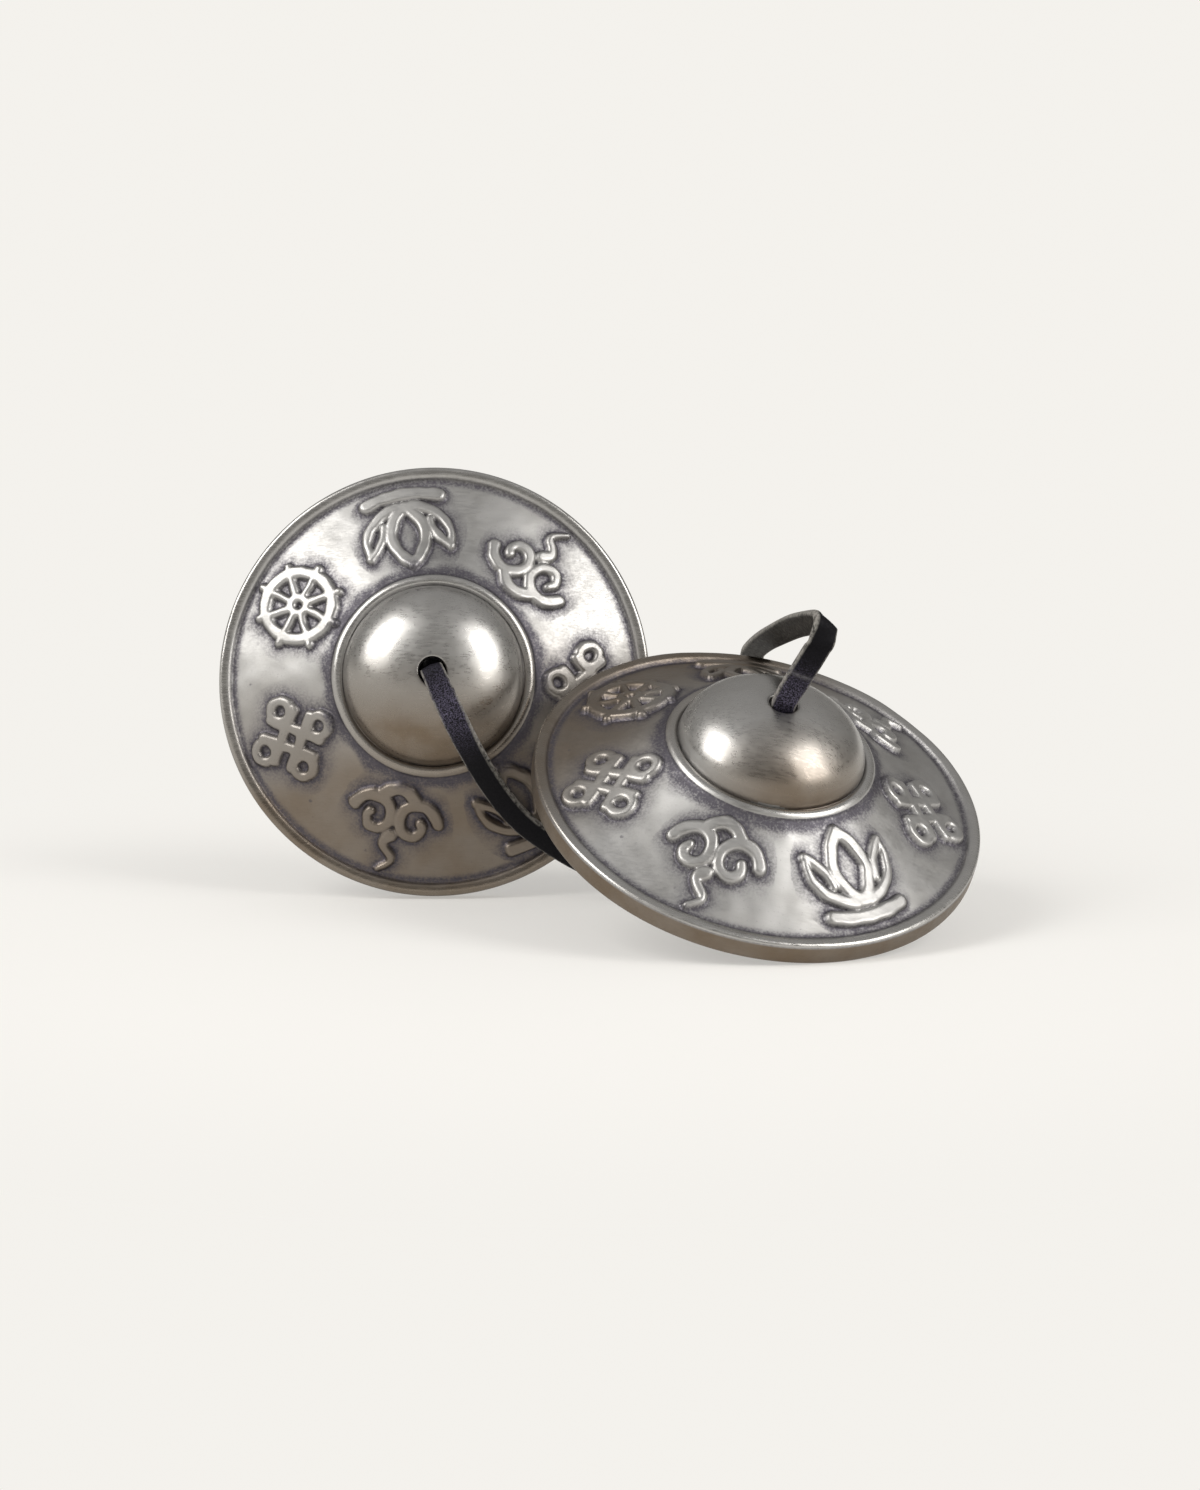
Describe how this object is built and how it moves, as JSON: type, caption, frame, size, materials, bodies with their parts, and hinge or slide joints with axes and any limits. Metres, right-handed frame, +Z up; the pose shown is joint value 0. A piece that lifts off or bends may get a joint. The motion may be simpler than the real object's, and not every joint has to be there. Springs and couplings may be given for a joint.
{
  "type": "tingsha cymbals",
  "caption": "Pair of small cast bronze cymbals with raised ornament, knotted to the ends of one leather strap and struck rim on rim to ring.",
  "frame": {"origin": "on the table, under the middle of the two cymbals' box", "axes": "+X to the right along the pair, +Y away from the viewer, +Z up"},
  "size_m": [0.112, 0.0792, 0.0641],
  "materials": {
    "bronze": "cast white bronze, polished on the domes and raised ornament, dark patina in the hollows",
    "leather": "thin black cut strap, smooth grain side and rough grey-brown flesh side"
  },
  "bodies": {
    "strap": {"strap": "leather"},
    "left_knot": {"left_knot": "leather"},
    "left_cymbal": {"left_cymbal": "bronze"},
    "right_knot": {"right_knot": "leather"},
    "right_cymbal": {"right_cymbal": "bronze"}
  },
  "joints": [
    {"name": "left_swing", "type": "hinge", "parent": "strap", "child": "left_knot", "pos_m": [-0.02288, 0.00614, 0.0359], "axis": [0.9169, 0.1106, 0.3835], "range_deg": [0, 95]},
    {"name": "left_spin", "type": "hinge", "parent": "left_knot", "child": "left_cymbal", "pos_m": [-0.02343, 0.02277, 0.03242], "axis": [0.0325, -0.9783, 0.2045], "continuous": true},
    {"name": "right_swing", "type": "hinge", "parent": "strap", "child": "right_knot", "pos_m": [0.0273, -0.01321, 0.03435], "axis": [-0.9829, -0.0938, 0.1586], "range_deg": [0, 60]},
    {"name": "right_spin", "type": "hinge", "parent": "right_knot", "child": "right_cymbal", "pos_m": [0.02417, -0.00479, 0.01992], "axis": [0.1842, -0.4953, 0.849], "continuous": true}
  ]
}
